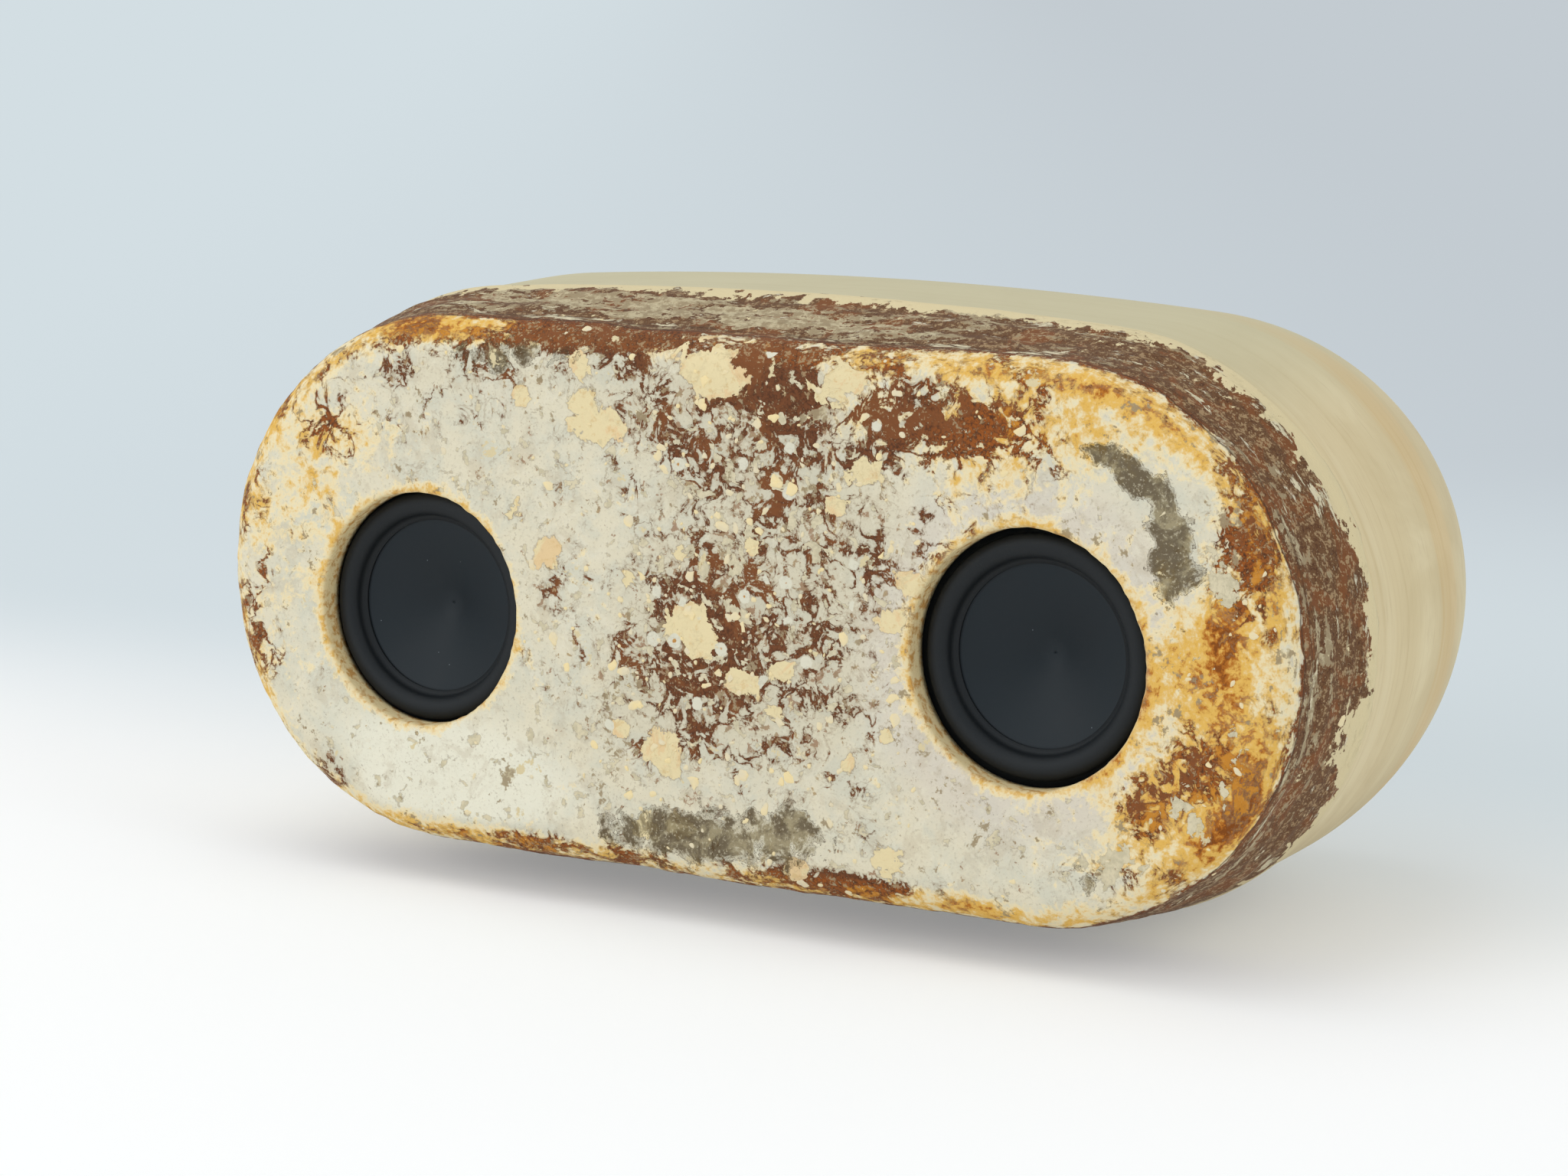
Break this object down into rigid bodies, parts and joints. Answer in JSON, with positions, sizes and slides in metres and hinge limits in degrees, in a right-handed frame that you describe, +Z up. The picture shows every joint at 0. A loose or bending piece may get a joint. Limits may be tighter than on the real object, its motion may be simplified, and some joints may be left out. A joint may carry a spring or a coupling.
{
  "type": "mycelium speaker",
  "caption": "Tabletop speaker with a mottled grown-mycelium front shell on a rounded wooden back, two recessed drivers, low rubber feet, and a rear button and charging socket.",
  "frame": {"origin": "on the surface that the feet stand on, under the middle of the cabinet", "axes": "+Z up, -Y out of the front face, +X to the right as seen from the front"},
  "size_m": [0.3316, 0.1616, 0.1628],
  "materials": {
    "mycelium": "grown skin, mottled grey-white, amber and brown",
    "shell_wood": "sanded and oiled",
    "plywood": "sawn",
    "post_wood": "turned",
    "zinc_steel": "zinc plated",
    "black_steel": "satin black",
    "circuit_board": "solder mask",
    "brass": "tinned",
    "black_aluminium": "black anodised",
    "capacitor_sleeve": "shrink sleeve",
    "tinned_can": "tinned",
    "green_plastic": "moulded",
    "black_plastic": "moulded, fine grain",
    "cell_sleeve": "shrink sleeve",
    "foot_rubber": "moulded",
    "lead_jacket": "extruded jacket",
    "gasket_foam": "die-cut foam",
    "surround_rubber": "moulded, fine grain",
    "cone_pulp": "pressed and coated, satin",
    "former_film": "polyimide film",
    "copper": "enamelled wire",
    "spider_cloth": "phenolic-dipped cloth",
    "ferrite": "sintered",
    "tag_board": "pressed fibre"
  },
  "bodies": {
    "enclosure": {"mycelium_front_shell": "mycelium", "wooden_rear_shell": "shell_wood", "joining_frame": "plywood", "driver_baffle": "plywood", "chassis_screws": "zinc_steel", "driver_screws": "black_steel", "amplifier_board": "circuit_board", "board_standoffs": "brass", "board_screws": "zinc_steel", "amplifier_heatsink": "black_aluminium", "filter_capacitors": "capacitor_sleeve", "radio_module": "tinned_can", "terminal_block": "green_plastic", "battery_holder": "black_plastic", "battery_cells": "cell_sleeve", "power_button_bushing": "black_aluminium", "power_button_nut": "zinc_steel", "charging_socket": "black_plastic", "charging_contact": "brass", "charging_socket_nut": "zinc_steel", "foot_screws": "zinc_steel", "baffle_post_upper_left": "post_wood", "baffle_post_upper_right": "post_wood", "baffle_post_lower_left": "post_wood", "baffle_post_lower_right": "post_wood", "front_left_foot": "foot_rubber", "front_right_foot": "foot_rubber", "rear_left_foot": "foot_rubber", "rear_right_foot": "foot_rubber", "left_speaker_lead": "lead_jacket", "right_speaker_lead": "lead_jacket", "battery_lead": "lead_jacket", "switch_lead": "lead_jacket", "charging_lead": "lead_jacket", "left_frame": "black_steel", "left_front_gasket": "gasket_foam", "left_surround": "surround_rubber", "left_spider": "spider_cloth", "left_top_plate": "zinc_steel", "left_magnet": "ferrite", "left_pole_yoke": "zinc_steel", "left_terminal_board": "tag_board", "left_terminal_tabs": "brass", "right_frame": "black_steel", "right_front_gasket": "gasket_foam", "right_surround": "surround_rubber", "right_spider": "spider_cloth", "right_top_plate": "zinc_steel", "right_magnet": "ferrite", "right_pole_yoke": "zinc_steel", "right_terminal_board": "tag_board", "right_terminal_tabs": "brass"},
    "left_diaphragm": {"left_cone": "cone_pulp", "left_voice_coil_former": "former_film", "left_voice_coil": "copper"},
    "right_diaphragm": {"right_cone": "cone_pulp", "right_voice_coil_former": "former_film", "right_voice_coil": "copper"},
    "power_button": {"power_button": "black_plastic"}
  },
  "joints": [
    {"name": "left_cone_travel", "type": "slide", "parent": "enclosure", "child": "left_diaphragm", "axis": [0, -0.9983, 0.0576], "range_m": [-0.0025, 0.0025], "stiffness_N_per_m": 1000, "deforming": ["left_surround", "left_spider"]},
    {"name": "right_cone_travel", "type": "slide", "parent": "enclosure", "child": "right_diaphragm", "axis": [0, -0.9983, 0.0576], "range_m": [-0.0025, 0.0025], "stiffness_N_per_m": 1000, "deforming": ["right_surround", "right_spider"]},
    {"name": "power_button_press", "type": "slide", "parent": "enclosure", "child": "power_button", "axis": [0, -1, 0], "range_m": [0, 0.0015], "stiffness_N_per_m": 800, "springref_m": -0.0005}
  ]
}
